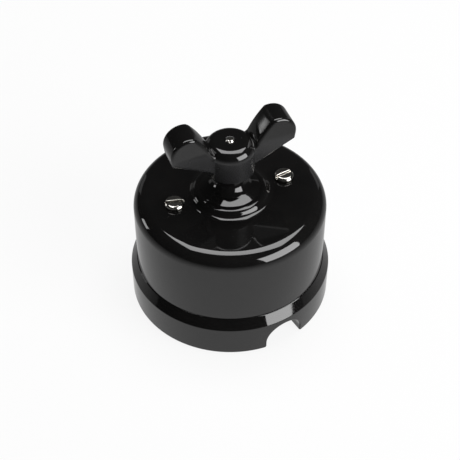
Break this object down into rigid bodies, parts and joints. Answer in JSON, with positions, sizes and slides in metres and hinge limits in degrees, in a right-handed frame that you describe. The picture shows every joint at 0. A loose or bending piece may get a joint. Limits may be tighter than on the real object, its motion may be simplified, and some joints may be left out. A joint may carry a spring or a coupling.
{
  "type": "rotary two-way switch",
  "caption": "Surface-mounted rotary two-way switch in black glazed porcelain: bevelled round base with a cable notch, round cap with a stepped boss, winged turning knob.",
  "frame": {"origin": "centre of the base's wall face", "axes": "+Z out of the wall along the spindle, +X along the cover screws and the knob's wings at rest"},
  "size_m": [0.068, 0.068, 0.0711],
  "materials": {
    "black_glaze": "deep black gloss glaze on porcelain",
    "steatite": "unglazed off-white steatite",
    "nickel": "nickel-plated, polished",
    "zinc_steel": "zinc-plated steel",
    "brass": "turned and milled brass",
    "spring_bronze": "rolled spring bronze",
    "moulded_resin": "brown moulded resin"
  },
  "bodies": {
    "housing": {"base": "black_glaze", "cap": "black_glaze", "contact_block": "steatite", "cover_screws": "nickel", "block_screws": "zinc_steel", "terminal_screws": "zinc_steel", "bridge_screws": "zinc_steel", "pillar_nuts": "zinc_steel", "bridge_plate": "zinc_steel", "cover_pillars": "brass", "thrust_washer": "brass", "bridge_washer": "brass", "bridge_spacers": "brass", "terminal_common": "brass", "terminal_way_one": "brass", "terminal_way_two": "brass", "terminal_loop": "brass", "index_spring_front": "spring_bronze", "index_spring_rear": "spring_bronze", "finger_common": "spring_bronze", "finger_way_one": "spring_bronze", "finger_way_two": "spring_bronze", "finger_loop": "spring_bronze"},
    "knob": {"knob": "black_glaze", "knob_screw": "nickel", "spindle": "brass", "drum": "moulded_resin", "strap_one": "brass", "strap_two": "brass", "index_cam": "moulded_resin", "spindle_clip": "zinc_steel"}
  },
  "joints": [
    {"name": "knob_turn", "type": "hinge", "parent": "housing", "child": "knob", "pos_m": [0, 0, 0], "axis": [0, 0, 1], "continuous": true, "deforming": ["index_spring_front", "index_spring_rear"]}
  ]
}
